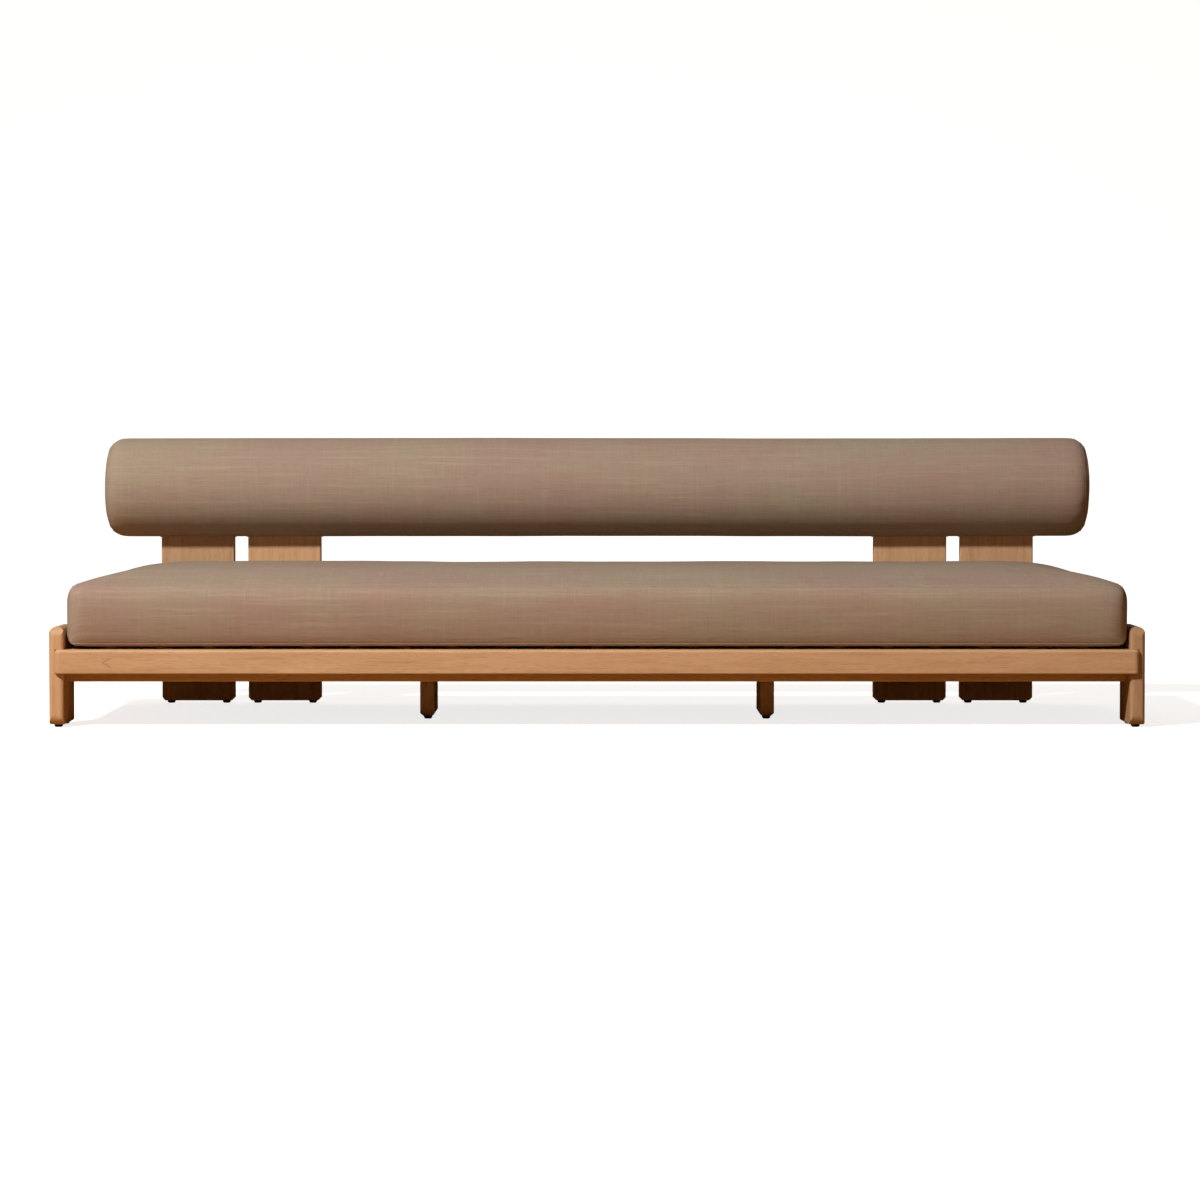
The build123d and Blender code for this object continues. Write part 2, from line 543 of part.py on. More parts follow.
# ---- every node of the daybed -------------------------------------------------------
def nodes():
    parts = {
        "front_rail": front_rail(),
        "rear_rail": rear_rail(),
        "front_leg_right": front_leg(),
        "front_leg_left": mirrored(front_leg()),
        "side_rail_right": side_rail(),
        "side_rail_left": mirrored(side_rail()),
        "front_ledger": front_ledger(),
        "rear_ledger": rear_ledger(),
        "slat_strip": slat_strip(),
        "cross_beam_right": cross_beam(),
        "cross_beam_left": mirrored(cross_beam()),
        "middle_leg_right": middle_leg(),
        "middle_leg_left": mirrored(middle_leg()),
        "front_leg_glides": Compound([glide(x, y) for x, y in LEG_GLIDES]),
        "middle_leg_glides": Compound([glide(x, y) for x, y in MIDDLE_GLIDES]),
        "plank_glides": Compound([glide(x, y) for x, y in PLANK_GLIDES]),
    }
    for name, centre in zip(PLANK_NAMES, PLANK_CENTRES):
        parts["back_plank_" + name] = back_plank(centre)
    for i, x in enumerate(slat_xs()):
        parts[f"slat_{i + 1:02d}"] = slat(x)
    parts["slat_screws"] = Compound([screw(x, y) for x in slat_xs() for y in SLAT_SCREW_YS])
    parts["plank_bolts"] = Compound([bolt(start, length, "y") for start, length in plank_bolt_places()])
    parts["plank_nuts"] = Compound([sleeve_nut(start, "y") for start, length in plank_bolt_places()])
    leg_bolts = [bolt(start, length, "x") for start, length in leg_bolt_places()]
    leg_nuts = [sleeve_nut(start, "x") for start, length in leg_bolt_places()]
    parts["middle_leg_bolts"] = Compound(leg_bolts + [mirrored(b) for b in leg_bolts])
    parts["middle_leg_nuts"] = Compound(leg_nuts + [mirrored(n) for n in leg_nuts])
    parts["bolster_cushion"] = bolster_cushion()
    parts["beam_front_board"] = beam_front_board()
    parts["beam_back_board"] = beam_back_board()
    parts["beam_cap"] = beam_cap()
    parts["beam_blocks"] = beam_blocks()
    parts["beam_screws"] = Compound(beam_screws(0.0, -1) + beam_screws(0.0, 1))
    parts["bolster_zip"] = bolster_zip()
    parts["bolster_zip_slider"] = bolster_zip_slider()
    parts["seat_cushion"] = seat_cushion()
    parts["seat_zip"] = seat_zip()
    parts["seat_zip_slider"] = seat_zip_slider()
    return parts


os.makedirs("parts", exist_ok=True)
for name, solid in nodes().items():
    export_step(solid, f"parts/{name}.step")
    print(name, len(solid.solids()), round(solid.volume))
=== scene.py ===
# %% [markdown]
# A long low daybed in teak: a loose box cushion on a slatted frame, and a round bolster for a
# back that slips over four upright planks. The boards, screws and bolts come from the packed
# CAD model and only get their finish here. The soft goods and the zips are modelled here,
# because foam and cloth need a softer shape than CAD gives them.

# %% Load the frame
import json
import math

import bmesh
import bpy
from mathutils import Matrix, Vector, noise
from mathutils.bvhtree import BVHTree


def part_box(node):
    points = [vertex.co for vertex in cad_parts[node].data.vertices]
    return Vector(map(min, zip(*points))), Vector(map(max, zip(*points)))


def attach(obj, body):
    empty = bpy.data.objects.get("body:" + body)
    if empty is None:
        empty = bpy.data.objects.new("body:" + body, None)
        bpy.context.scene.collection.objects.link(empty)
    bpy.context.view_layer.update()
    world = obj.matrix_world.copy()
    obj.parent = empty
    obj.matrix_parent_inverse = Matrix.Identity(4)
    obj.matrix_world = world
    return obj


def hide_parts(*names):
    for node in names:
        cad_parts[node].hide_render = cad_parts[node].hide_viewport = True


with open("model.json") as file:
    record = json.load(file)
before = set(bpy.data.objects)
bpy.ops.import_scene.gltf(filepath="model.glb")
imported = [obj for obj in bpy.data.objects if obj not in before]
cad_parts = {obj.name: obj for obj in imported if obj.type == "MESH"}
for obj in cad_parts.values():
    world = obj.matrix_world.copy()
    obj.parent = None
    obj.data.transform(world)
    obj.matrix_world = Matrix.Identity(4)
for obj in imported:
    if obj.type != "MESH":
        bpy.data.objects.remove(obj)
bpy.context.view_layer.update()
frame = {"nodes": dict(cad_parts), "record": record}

# %% [markdown]
# The floor is a pale studio sweep: a flat sheet that turns up into a wall far behind the
# bed, so that no horizon line shows. Its bend is one bevelled edge.

# %% Floor sweep
sweep_mesh = bmesh.new()
bmesh.ops.create_grid(sweep_mesh, x_segments=1, y_segments=1, size=14)
far_edge = [e for e in sweep_mesh.edges if all(v.co.y > 13 for v in e.verts)]
risen = bmesh.ops.extrude_edge_only(sweep_mesh, edges=far_edge)
for item in risen["geom"]:
    if isinstance(item, bmesh.types.BMVert):
        item.co.z = 12
bmesh.ops.bevel(sweep_mesh, geom=far_edge, offset=4, segments=16, affect="EDGES",
                profile=0.5, material=-1)
bmesh.ops.recalc_face_normals(sweep_mesh, faces=sweep_mesh.faces)


def piece_from(name, shape):
    """Turns a bmesh into an object with smooth faces, at the origin."""
    mesh = bpy.data.meshes.new(name)
    shape.to_mesh(mesh)
    shape.free()
    mesh.shade_smooth()
    piece = bpy.data.objects.new(name, mesh)
    bpy.context.scene.collection.objects.link(piece)
    return piece


floor = piece_from("floor_sweep", sweep_mesh)
print("floor", len(floor.data.polygons), "faces")

# %% [markdown]
# The camera stands ten metres in front with a long lens, level with the upper half of the
# bolster, and looks down by about two degrees. From so far away the planks at the back look
# nearly as large as the legs in front.

# %% Camera
eye = bpy.data.cameras.new("camera")
eye.lens = 115.5
eye.sensor_width = 36
camera = bpy.data.objects.new("camera", eye)
camera.location = (0.0075, -10.169, 0.679)
camera.rotation_euler = (math.radians(90 - 2.138), 0, 0)
bpy.context.scene.collection.objects.link(camera)
bpy.context.scene.camera = camera
bpy.context.scene.view_settings.view_transform = "Standard"
print("camera", tuple(camera.location))

# %% [markdown]
# One compact warm lamp high on the left draws the shadow under the bolster and lets the right
# side fall off. A broad weak lamp from the front and a dim warm world fill the shadows. A low
# amber lamp reaches under the seat as light off a wooden floor would, and a lamp behind the bed
# evens out the sweep.

# %% Lamps
def area_lamp(name, place, target, width, power, colour):
    """A square lamp at one point that faces another."""
    data = bpy.data.lights.new(name, "AREA")
    data.shape = "SQUARE"
    data.size = width
    data.energy = power
    data.color = colour
    lamp = bpy.data.objects.new(name, data)
    lamp.location = place
    aim = Vector(target) - Vector(place)
    lamp.rotation_euler = aim.to_track_quat("-Z", "Y").to_euler()
    bpy.context.scene.collection.objects.link(lamp)
    return lamp


KEY_POWER = 1020
area_lamp("key_lamp", (-4.6, -6.2, 6.4), (0, 0.2, 0.4), 0.7, KEY_POWER, (1.0, 0.95, 0.88))
area_lamp("fill_lamp", (1.5, -7.5, 3.0), (0, 0, 0.3), 4.0, 6, (1.0, 0.95, 0.9))
area_lamp("low_lamp", (0, -6, 0.25), (0, 0, 0.1), 1.5, 24, (1.0, 0.5, 0.14))
area_lamp("floor_lamp", (0, 7.5, 5.5), (0, 6, 0), 5.0, 90, (1.0, 1.0, 1.0))

world = bpy.data.worlds.new("studio")
world.use_nodes = True
world.node_tree.nodes["Background"].inputs["Color"].default_value = (1.0, 0.74, 0.48, 1)
world.node_tree.nodes["Background"].inputs["Strength"].default_value = 0.085
bpy.context.scene.world = world

# %% [markdown]
# Finishes are worked out with shader arithmetic. Wrapping a socket in a small class lets a
# sum be written as Python, where each operator adds one Math node.

# %% Shader arithmetic
class Wire:
    """An output socket that can be added, multiplied and compared."""

    def __init__(self, tree, socket):
        self.tree = tree
        self.socket = socket

    def node(self, kind, settings=None, inputs=None, out=0):
        """Adds any node: settings first, then the values or wires of its sockets."""
        made = self.tree.nodes.new(kind)
        for name, value in (settings or {}).items():
            setattr(made, name, value)
        for name, value in (inputs or {}).items():
            if isinstance(value, Wire):
                self.tree.links.new(value.socket, made.inputs[name])
            else:
                made.inputs[name].default_value = value
        return Wire(self.tree, made.outputs[out])

    def maths(self, operation, *values):
        return self.node("ShaderNodeMath", {"operation": operation}, dict(enumerate(values)))

    def __add__(self, other):
        return self.maths("ADD", self, other)

    __radd__ = __add__

    def __sub__(self, other):
        return self.maths("SUBTRACT", self, other)

    def __rsub__(self, other):
        return self.maths("SUBTRACT", other, self)

    def __mul__(self, other):
        return self.maths("MULTIPLY", self, other)

    __rmul__ = __mul__

    def __abs__(self):
        return self.maths("ABSOLUTE", self)

    def smaller(self, other):
        return self.maths("MINIMUM", self, other)

    def larger(self, other):
        return self.maths("MAXIMUM", self, other)

    def step(self, low, high):
        """0 below low, 1 above high, and smooth between."""
        return self.node("ShaderNodeMapRange", {"interpolation_type": "SMOOTHSTEP"},
                         {"Value": self, "From Min": low, "From Max": high})

    def xyz(self):
        parts = self.node("ShaderNodeSeparateXYZ", None, {0: self})
        outputs = parts.socket.node.outputs
        return [Wire(self.tree, outputs[i]) for i in range(3)]

    def mapped(self, place=(0, 0, 0), turn=(0, 0, 0), scale=(1, 1, 1)):
        return self.node("ShaderNodeMapping", None,
                         {"Vector": self, "Location": place, "Rotation": turn, "Scale": scale})

    def noise(self, scale, detail=2.0, roughness=0.5):
        """Cloudy noise with its own scale along each axis."""
        return self.node("ShaderNodeTexNoise", None, {
            "Vector": self.mapped(scale=scale), "Scale": 1.0, "Detail": detail, "Roughness": roughness})

    def blend(self, first, second):
        """Mixes two colours, with this wire as the share of the second."""
        return self.node("ShaderNodeMix", {"data_type": "RGBA"}, {0: self, 6: first, 7: second}, out=2)

    def bump(self, strength, distance):
        return self.node("ShaderNodeBump", None,
                         {"Height": self, "Strength": strength, "Distance": distance})


def finish_named(name, **constants):
    """A new material, its shader with constant sockets set, and Object coordinates."""
    material = bpy.data.materials.new(name)
    material.use_nodes = True
    tree = material.node_tree
    shader = tree.nodes["Principled BSDF"]
    for socket, value in constants.items():
        shader.inputs[socket.replace("_", " ")].default_value = value
    place = tree.nodes.new("ShaderNodeTexCoord")
    return material, shader, Wire(tree, place.outputs["Object"])


def feed(shader, **wires):
    for socket, wire in wires.items():
        wire.tree.links.new(wire.socket, shader.inputs[socket.replace("_", " ")])


print("shader arithmetic ready")

# %% [markdown]
# Teak is sawn from a log, so its figure is the log's growth rings cut by the board's faces.
# Rings round a line beside the board give straight grain on one face and cathedral arches on
# another, as sawing does, and fine stretched noise gives the fibres and the open pores. Each
# board has its own place in the log and its own tone. Its edges, sanded and handled most,
# are a little lighter and smoother: they lie where two distances to the board's faces are small.

# %% Teak
TURNS = {"x": (0, 0, 0), "y": (0, 0, math.radians(-90)), "z": (0, math.radians(90), 0)}
TEAK_COLOURS = ((0.62, 0.385, 0.225), (0.54, 0.31, 0.165), (0.37, 0.18, 0.078))   # pale, mid, dark
RIM_WIDTH = 0.005                               # how far a board's worn edge reaches
KNOT_LENGTH = 0.018
RAIL_KNOT = (-1.2355, 0.1635)                   # x and z of the small knot near the rail's left end
BOARD_TONES_AND_PAINTED_SHADE = {"back_plank_outer_left": 0.82, "front_leg_right": 0.72}            # the outer left plank is a darker board; the right front leg is darker as painted shade


def rim_of(place, low, high, width):
    """1 along the edges of a box and 0 on its faces."""
    near = [(p - a).smaller(b - p) for p, a, b in zip(place.xyz(), low, high)]
    second = near[0].smaller(near[1]).larger(near[0].larger(near[1]).smaller(near[2]))
    return 1 - second.step(0.0, width)


def teak(name, grain, number, box, tone=1.0, knot=None):
    """Oiled teak for one board, with its grain along one axis."""
    material, shader, place = finish_named("teak_" + name, Specular_IOR_Level=0.35, IOR=1.45)
    log = place.mapped(turn=TURNS[grain])
    pith = (0.37 * number, 0.031 + 0.013 * (number % 5), -0.05 - 0.017 * (number % 3))
    round_pith = log.mapped(place=pith, scale=(0.22, 1, 1))
    rings = round_pith.node(
        "ShaderNodeTexWave", {"wave_type": "RINGS", "rings_direction": "X", "wave_profile": "SAW"},
        {"Vector": round_pith, "Scale": 20.0, "Distortion": 8.0, "Detail": 2.0,
         "Detail Scale": 0.9, "Detail Roughness": 0.55}, out=1)
    shifted = log.mapped(place=(number * 1.7, number * 0.9, number * 0.4))
    broad = shifted.noise((0.9, 9, 9), 2, 0.5)
    fibres = shifted.noise((5, 170, 170), 4, 0.6)
    streaks = shifted.noise((2.2, 42, 42), 3, 0.55)
    pores = shifted.noise((38, 1300, 1300), 1, 0.5).step(0.60, 0.72)
    pale, mid, dark = [(tone * r, tone * g, tone * b, 1) for r, g, b in TEAK_COLOURS]
    colour = (rings * 0.36 + streaks.step(0.35, 0.68) * 0.45).blend(pale, mid)
    colour = (fibres.step(0.5, 0.78) * 0.5 + broad.step(0.5, 0.75) * 0.22).blend(colour, dark)
    colour = (pores * 0.35).blend(colour, (0.16, 0.07, 0.025, 1))
    rim = rim_of(place, box[0], box[1], RIM_WIDTH)
    colour = (rim * 0.28).blend(colour, (0.70, 0.47, 0.27, 1))
    if knot:
        x, y, z = place.xyz()
        along = x - knot[0]
        chevron = abs(abs(z - knot[1]) - along * 0.55)
        inside = along.step(-0.001, 0.001) * (1 - along.step(KNOT_LENGTH, KNOT_LENGTH + 0.005))
        mark = (1 - chevron.step(0.0008, 0.0026)) * inside
        colour = (mark * 0.42).blend(colour, (0.20, 0.085, 0.035, 1))
    rough = fibres * 0.12 + pores * 0.15 - rim * 0.10 + 0.50
    height = fibres * 0.6 - pores * 0.8 + rings * 0.25
    feed(shader, Base_Color=colour, Roughness=rough, Normal=height.bump(0.35, 0.0006))
    return material


def dress(node, material):
    """Gives a CAD node's object a material without touching its mesh."""
    target = frame["nodes"][node]
    for place in target.material_slots:
        place.link = "OBJECT"
        place.material = material


slots = {part["node"]: part["material_slot"] for part in frame["record"]["subparts"]}
boards = [name for name, slot in slots.items() if slot == "teak"]
for number, name in enumerate(boards):
    low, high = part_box(name)
    spans = [high[i] - low[i] for i in range(3)]
    grain = "xyz"[spans.index(max(spans))]
    if name.startswith(("front_leg", "middle_leg")):
        grain = "z"
    # the right front leg's lower tone is painted shade, not a darker board
    tone = BOARD_TONES_AND_PAINTED_SHADE.get(name, 0.94 + 0.05 * ((number * 7) % 4) / 2)
    knot = RAIL_KNOT if name == "front_rail" else None
    dress(name, teak(name, grain, number, (tuple(low), tuple(high)), tone, knot))
print(len(boards), "teak boards finished")

# %% [markdown]
# The beam inside the bolster is birch plywood: thin veneers glued crosswise, so its faces show
# calm rotary-cut grain and its edges show stripes. Stripes by thickness draw the edges, and
# stretched noise draws the face.

# %% Plywood
VENEER = 0.0028                                 # one light and one dark veneer together


def plywood(name, thickness_axis):
    """Birch plywood, with its veneers stacked along one axis."""
    material, shader, place = finish_named(name, Specular_IOR_Level=0.3)
    layers = place.xyz()[thickness_axis] * (2 * math.pi / VENEER)
    stripes = layers.maths("SINE", layers).step(-0.3, 0.3)
    face = place.noise((2.5, 30, 30), 3, 0.55)
    fibres = place.noise((8, 400, 400), 3, 0.6)
    colour = (stripes * 0.45 + face * 0.4).blend((0.62, 0.44, 0.26, 1), (0.42, 0.26, 0.13, 1))
    feed(shader, Base_Color=colour, Roughness=fibres * 0.15 + 0.55,
         Normal=(fibres + stripes * 0.3).bump(0.25, 0.0004))
    return material


for name, axis in (("beam_front_board", 1), ("beam_back_board", 1),
                   ("beam_cap", 2), ("beam_blocks", 0)):
    dress(name, plywood("plywood_" + name, axis))
print("plywood beam finished")

# %% [markdown]
# Small hardware: zinc-plated steel for the bolts and screws, and dark moulded plastic for the
# nail-on glides. Both get soft uneven polish, because a single gloss looks like a toy.

# %% Steel and glides
def plated_steel(name, colour, base_rough):
    """Plated metal with a cloudy tint and fine turning marks."""
    material, shader, place = finish_named(name, Metallic=1.0)
    cloudy = place.noise((90, 90, 90), 3, 0.6)
    turned = place.noise((1600, 300, 1600), 2, 0.5)
    tint = cloudy.blend(colour, tuple(0.72 * c for c in colour[:3]) + (1,))
    feed(shader, Base_Color=tint, Roughness=cloudy * 0.18 + turned * 0.12 + base_rough,
         Normal=turned.bump(0.15, 0.0002))
    return material


steel = plated_steel("plated_steel", (0.62, 0.62, 0.60, 1), 0.22)
zip_metal = plated_steel("dark_zip_metal", (0.30, 0.26, 0.22, 1), 0.28)
for name, slot in slots.items():
    if slot == "steel":
        dress(name, steel)
    if slot == "zip_metal":
        dress(name, zip_metal)

glide_plastic, glide_shader, glide_place = finish_named("glide_plastic", Specular_IOR_Level=0.4)
scuffs = glide_place.noise((500, 500, 120), 4, 0.65)
feed(glide_shader,
     Base_Color=scuffs.step(0.45, 0.8).blend((0.022, 0.016, 0.013, 1), (0.065, 0.052, 0.043, 1)),
     Roughness=scuffs * 0.35 + 0.32, Normal=scuffs.bump(0.2, 0.0002))
for name, slot in slots.items():
    if slot == "glide":
        dress(name, glide_plastic)
print("steel and glides finished")

# %% [markdown]
# The cover is a slubby woven outdoor cloth in taupe. Its yarns vary in thickness and in dye,
# so long streaks run both ways, and whole areas lean to grey-green or to pink. A map in metres
# that follows the surface carries the yarns, and clouds in space carry the tone. Cloth scatters
# light at a grazing angle, which is what sheen adds.

# %% Cloth
YARN = 0.0016                                   # from one yarn to the next


def cloth(name, green, pink):
    """Slubby plain weave whose areas drift between two colours."""
    material, shader, place = finish_named(
        name, Sheen_Weight=0.05, Sheen_Roughness=0.45, Sheen_Tint=(1.0, 0.88, 0.78, 1),
        Specular_IOR_Level=0.06)
    yarns = place.node("ShaderNodeUVMap", {"uv_map": "weave"})
    weft = yarns.noise((3.2, 95, 1), 3, 0.55)
    weft_slub = yarns.noise((16, 520, 1), 3, 0.6)
    warp = yarns.noise((80, 3.4, 1), 3, 0.55)
    warp_slub = yarns.noise((480, 17, 1), 3, 0.6)
    clouds = place.noise((2.6, 3.6, 6), 3, 0.6)
    drift = place.mapped(place=(5, 2, 9)).noise((1.5, 3, 3), 2, 0.5)
    u, v = yarns.xyz()[:2]
    ups = (u * (math.pi / YARN)).maths("SINE", u * (math.pi / YARN))
    downs = (v * (math.pi / YARN)).maths("SINE", v * (math.pi / YARN))
    crossing = ups * downs
    colour = (clouds.step(0.38, 0.64) * 0.65 + drift.step(0.35, 0.65) * 0.35).blend(green, pink)
    light = tuple(min(1.0, 1.55 * c) for c in green[:3]) + (1,)
    dark = tuple(0.50 * c for c in pink[:3]) + (1,)
    colour = (weft.step(0.46, 0.76) * 0.24 + warp.step(0.48, 0.78) * 0.13).blend(colour, light)
    slubs = (1 - weft_slub).step(0.48, 0.74) * 0.34 + (1 - warp_slub).step(0.5, 0.74) * 0.24
    colour = slubs.blend(colour, dark)
    colour = (crossing.step(0.2, 1.0) * 0.12).blend(colour, light)
    height = crossing * 0.5 + weft_slub * 1.1 + warp_slub * 0.9
    feed(shader, Base_Color=colour, Roughness=0.86 + weft_slub * 0.1, Normal=height.bump(0.55, 0.0006))
    return material


taupe_cloth = cloth("taupe_cloth", (0.338, 0.282, 0.218, 1), (0.348, 0.245, 0.208, 1))

thread, thread_shader, thread_place = finish_named("sewing_thread", Sheen_Weight=0.2)
twist = thread_place.noise((700, 700, 700), 2, 0.5)
feed(thread_shader, Base_Color=twist.blend((0.27, 0.195, 0.145, 1), (0.40, 0.30, 0.23, 1)),
     Roughness=twist * 0.2 + 0.6)
print("cloth and thread ready")

# %% [markdown]
# Both cushions are blown up like the real ones, where foam presses a sewn cover outwards. Blender's
# Cloth with pressure does that on an even voxel mesh that starts a little too small. Every
# point may move only so far, so the cushion keeps its size and gets the uneven swell of foam.

# %% Foam pressure
def replace_mesh(piece, mesh):
    """Swaps a piece's mesh and drops the old one."""
    old = piece.data
    piece.data = mesh
    bpy.data.meshes.remove(old)


def evaluated_copy(piece):
    """The piece's mesh with its modifiers in it."""
    bpy.context.view_layer.update()
    ready = bpy.context.evaluated_depsgraph_get()
    return bpy.data.meshes.new_from_object(piece.evaluated_get(ready))


def even_mesh(piece, voxel):
    """Voxel remesh, applied."""
    remesh = piece.modifiers.new("voxels", "REMESH")
    remesh.mode = "VOXEL"
    remesh.voxel_size = voxel
    mesh = evaluated_copy(piece)
    piece.modifiers.remove(remesh)
    replace_mesh(piece, mesh)


def blow_up(piece, pressure, furthest, frames=20):
    """Runs cloth pressure and moves each point by no more than the furthest distance."""
    before = [v.co.copy() for v in piece.data.vertices]
    cloth_sim = piece.modifiers.new("foam", "CLOTH")
    cloth_sim.settings.quality = 5
    cloth_sim.settings.mass = 0.3
    cloth_sim.settings.tension_stiffness = 18
    cloth_sim.settings.compression_stiffness = 18
    cloth_sim.settings.bending_stiffness = 2.0
    cloth_sim.settings.use_pressure = True
    cloth_sim.settings.uniform_pressure_force = pressure
    cloth_sim.settings.effector_weights.gravity = 0
    cloth_sim.point_cache.frame_start = 1
    cloth_sim.point_cache.frame_end = frames
    for step in range(1, frames + 1):
        bpy.context.scene.frame_set(step)
    mesh = evaluated_copy(piece)
    piece.modifiers.remove(cloth_sim)
    bpy.context.scene.frame_set(1)
    moved = []
    for vertex, start in zip(mesh.vertices, before):
        shift = vertex.co - start
        moved.append(shift.length)
        if shift.length > furthest:
            shift *= furthest / shift.length
        vertex.co = start + shift
    replace_mesh(piece, mesh)
    print(piece.name, "moved", round(1000 * sum(moved) / len(moved), 1), "mm on average, up to",
          round(1000 * max(moved), 1))


def refine(piece):
    """One applied subdivision."""
    smooth = piece.modifiers.new("smooth", "SUBSURF")
    smooth.levels = 1
    smooth.render_levels = 1
    mesh = evaluated_copy(piece)
    piece.modifiers.remove(smooth)
    replace_mesh(piece, mesh)
    piece.data.shade_smooth()


def fit_box(piece, low, high):
    """Scales a piece's mesh to fill a box, since remeshing and smoothing shrink it a little."""
    corners = [v.co for v in piece.data.vertices]
    least = Vector([min(c[i] for c in corners) for i in range(3)])
    most = Vector([max(c[i] for c in corners) for i in range(3)])
    grow = [(high[i] - low[i]) / (most[i] - least[i]) for i in range(3)]
    stretch = Matrix.Diagonal((*grow, 1))
    piece.data.transform(Matrix.Translation(low) @ stretch @ Matrix.Translation(-least))
    print(piece.name, "grown by", [round(g, 3) for g in grow])


def ease(value, low, high):
    """0 below low, 1 above high, and smooth between, for plain numbers."""
    t = min(1.0, max(0.0, (value - low) / (high - low)))
    return t * t * (3 - 2 * t)


print("foam pressure ready")

# %% [markdown]
# The seat is a boxed cushion: a flat bottom, upright boxing, and a top panel that rises from
# the boxing to a low crown. It starts as a cube with rounded upright corners, and insets of its
# top and bottom faces step it in, like the tiers of a cake. Voxels, pressure and one
# subdivision then round the tiers off.

# %% Seat cushion
seat_low, seat_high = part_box("seat_cushion")
TIGHT = 0.005                                   # how much smaller the foam starts
SEAT_TURN_Z = 0.366                             # where the boxing turns into the top panel
BOXING_TOP = 0.330
# how far each tier of the top steps in, and its height
TOP_TIERS = ((0.002, 0.346), (0.008, 0.356), (0.020, 0.363), (0.040, 0.368), (0.075, 0.377),
             (0.125, 0.387), (0.190, 0.395), (0.280, 0.399))


def step_in(shape, faces, middle, inset, rise):
    """Adds a tier on flat faces: a smaller copy of their outline, higher or lower."""
    bmesh.ops.inset_region(shape, faces=faces, thickness=0.0002, depth=0)
    corners = list({v for f in faces for v in f.verts})
    half_x = max(abs(v.co.x - middle.x) for v in corners)
    half_y = max(abs(v.co.y - middle.y) for v in corners)
    bmesh.ops.scale(shape, vec=(1 - inset / half_x, 1 - inset / half_y, 1),
                    space=Matrix.Translation(-middle), verts=corners)
    bmesh.ops.translate(shape, vec=(0, 0, rise), verts=corners)


def box_cushion():
    """The seat's foam before it swells."""
    shape = bmesh.new()
    bmesh.ops.create_cube(shape, size=1)
    low = Vector((seat_low.x + TIGHT, seat_low.y + TIGHT, seat_low.z + 0.007))
    high = Vector((seat_high.x - TIGHT, seat_high.y - TIGHT, BOXING_TOP))
    middle = (low + high) / 2
    bmesh.ops.scale(shape, vec=high - low, verts=shape.verts)
    bmesh.ops.translate(shape, vec=middle, verts=shape.verts)
    upright = [e for e in shape.edges if abs((e.verts[0].co - e.verts[1].co).z) > 0.01]
    bmesh.ops.bevel(shape, geom=upright, offset=0.040, segments=6, affect="EDGES",
                    profile=0.5, material=-1)
    top = [f for f in shape.faces if f.normal.z > 0.9]
    base = [f for f in shape.faces if f.normal.z < -0.9]
    step_in(shape, base, middle, 0.006, -0.006)
    reached, height = 0.0, BOXING_TOP
    for inset, z in TOP_TIERS:
        step_in(shape, top, middle, inset - reached, z - height)
        reached, height = inset, z
    return shape


seat = piece_from("seat_pad", box_cushion())
even_mesh(seat, 0.017)
blow_up(seat, 4.0, 0.008)
refine(seat)
fit_box(seat, seat_low, seat_high)
print("seat cushion", len(seat.data.polygons), "faces")

# %% [markdown]
# Foam that lies on slats is flat below and keeps clear of the legs beside it. Above the legs'
# tops it swells out again. The cloth over the crown wanders by a millimetre or two, and the
# rear boxing stays flat where the zip is sewn in.

# %% Settle the seat
BELLY_Z, BELLY_HEIGHT = 0.308, 0.095            # where the front boxing bulges most, and how tall
zip_low, zip_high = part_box("seat_zip")
ZIP_Z = (zip_low.z + zip_high.z) / 2
leg_low, leg_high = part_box("front_leg_right")
leg_inner, leg_top = abs(leg_low.x), leg_high.z
normals = [v.normal.copy() for v in seat.data.vertices]
for vertex, normal in zip(seat.data.vertices, normals):
    point = vertex.co.copy()
    swell = noise.noise(point * 3.1) * 0.0022 + noise.noise(point * 9.0 + Vector((7, 1, 3))) * 0.0008
    above = ease(point.z, seat_low.z + 0.02, seat_low.z + 0.12)
    point += normal * swell * above
    if point.y < seat_low.y + 0.08 and point.z < SEAT_TURN_Z:
        belly = 0.009 - 0.019 * ((point.z - BELLY_Z) / BELLY_HEIGHT) ** 2
        point.y += normal.y * belly * (1 - ease(point.y, seat_low.y + 0.03, seat_low.y + 0.08))
    point.z = min(max(point.z, seat_low.z), seat_high.z + 0.003)
    if point.z < seat_low.z + 0.004:
        point.z = seat_low.z
    limit = leg_inner - 0.0025 + 0.009 * ease(point.z, leg_top + 0.002, leg_top + 0.03)
    point.x = max(-limit, min(limit, point.x))
    point.y = max(seat_low.y - 0.012, point.y)
    if point.y > seat_high.y - 0.03:
        flat = 1 - ease(abs(point.z - ZIP_Z), 0.022, 0.060)
        point.y += (seat_high.y - 0.0003 - point.y) * flat
        point.y = min(point.y, seat_high.y + 0.004)
    vertex.co = point
seat.data.update()


def lay_weave(piece, along, across):
    """Stores the yarns' coordinates, in metres, as a map that follows the surface."""
    layer = piece.data.uv_layers.new(name="weave")
    for face in piece.data.polygons:
        for corner in face.loop_indices:
            point = piece.data.vertices[piece.data.loops[corner].vertex_index].co
            layer.data[corner].uv = (along(point, face.normal), across(point, face.normal))


def seat_across(point, normal):
    """Distance over the cushion: up the boxing, then back over the top."""
    if abs(normal.x) > 0.7:
        return point.z
    return point.z + (point.y - seat_low.y)


lay_weave(seat, lambda p, n: p.y if abs(n.x) > 0.7 else p.x, seat_across)
seat.data.materials.append(taupe_cloth)
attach(seat, "seat")
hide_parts("seat_cushion")
print("seat settled", [round(v, 3) for corner in (0, 6) for v in seat.bound_box[corner]])

# %% [markdown]
# The bolster is a foam roll with rounded ends round a beam, sewn from one long panel and two
# round end panels. A cylinder with bevelled rims is blown up in the same way. The planks pass
# into it through four slots, which a Boolean cuts in the next step.

